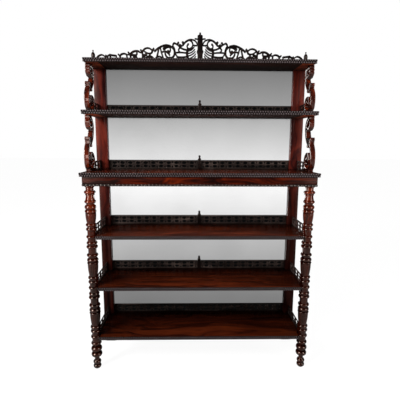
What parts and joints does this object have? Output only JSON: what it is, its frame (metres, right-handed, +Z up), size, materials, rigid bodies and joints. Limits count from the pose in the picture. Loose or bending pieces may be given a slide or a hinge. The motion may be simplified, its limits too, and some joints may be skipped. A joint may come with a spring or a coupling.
{
  "type": "etagere",
  "caption": "Tall open whatnot with mirror-backed tiers on turned front columns and scroll supports, pierced galleries and a carved fretwork crest.",
  "frame": {"origin": "on the floor, under the middle of the bounding box", "axes": "+Z up, -Y out of the open front, +X to the right when seen from the front"},
  "size_m": [1.225, 0.334, 1.851],
  "materials": {
    "rosewood": "polished, red brown with black figure",
    "dark_rosewood": "polished, nearly black, carved or pierced",
    "mirror_plate": "silvered flat glass",
    "plain_pine": "unpolished, out of sight"
  },
  "bodies": {
    "root": {"top_shelf": "rosewood", "upper_shelf": "rosewood", "middle_shelf": "rosewood", "fourth_shelf": "rosewood", "fifth_shelf": "rosewood", "bottom_shelf": "rosewood", "front_frieze_rail": "rosewood", "left_frieze_rail": "rosewood", "right_frieze_rail": "rosewood", "left_upper_stile": "rosewood", "left_lower_stile": "rosewood", "left_column": "rosewood", "top_bay_left_scroll": "rosewood", "second_bay_left_scroll": "rosewood", "right_upper_stile": "rosewood", "right_lower_stile": "rosewood", "right_column": "rosewood", "top_bay_right_scroll": "rosewood", "second_bay_right_scroll": "rosewood", "top_shelf_moulding": "dark_rosewood", "upper_shelf_moulding": "dark_rosewood", "middle_shelf_moulding": "dark_rosewood", "fourth_shelf_moulding": "dark_rosewood", "fifth_shelf_moulding": "dark_rosewood", "bottom_shelf_moulding": "dark_rosewood", "frieze_bead_moulding": "dark_rosewood", "upper_shelf_back_gallery": "dark_rosewood", "upper_shelf_left_gallery": "dark_rosewood", "upper_shelf_right_gallery": "dark_rosewood", "upper_shelf_finial": "dark_rosewood", "middle_shelf_back_gallery": "dark_rosewood", "middle_shelf_left_gallery": "dark_rosewood", "middle_shelf_right_gallery": "dark_rosewood", "middle_shelf_finial": "dark_rosewood", "fourth_shelf_back_gallery": "dark_rosewood", "fourth_shelf_left_gallery": "dark_rosewood", "fourth_shelf_right_gallery": "dark_rosewood", "fourth_shelf_finial": "dark_rosewood", "fifth_shelf_back_gallery": "dark_rosewood", "fifth_shelf_left_gallery": "dark_rosewood", "fifth_shelf_right_gallery": "dark_rosewood", "fifth_shelf_finial": "dark_rosewood", "bottom_shelf_back_gallery": "dark_rosewood", "bottom_shelf_left_gallery": "dark_rosewood", "bottom_shelf_right_gallery": "dark_rosewood", "crest_post": "dark_rosewood", "crest_left": "dark_rosewood", "crest_right": "dark_rosewood", "crest_corner_finials": "dark_rosewood", "top_bay_mirror": "mirror_plate", "second_bay_mirror": "mirror_plate", "third_bay_mirror": "mirror_plate", "fourth_bay_mirror": "mirror_plate", "bottom_bay_mirror": "mirror_plate", "back_frieze_rail": "plain_pine", "frieze_corner_blocks": "plain_pine", "upper_back_board": "plain_pine", "lower_back_board": "plain_pine", "dowels": "plain_pine"}
  },
  "joints": []
}
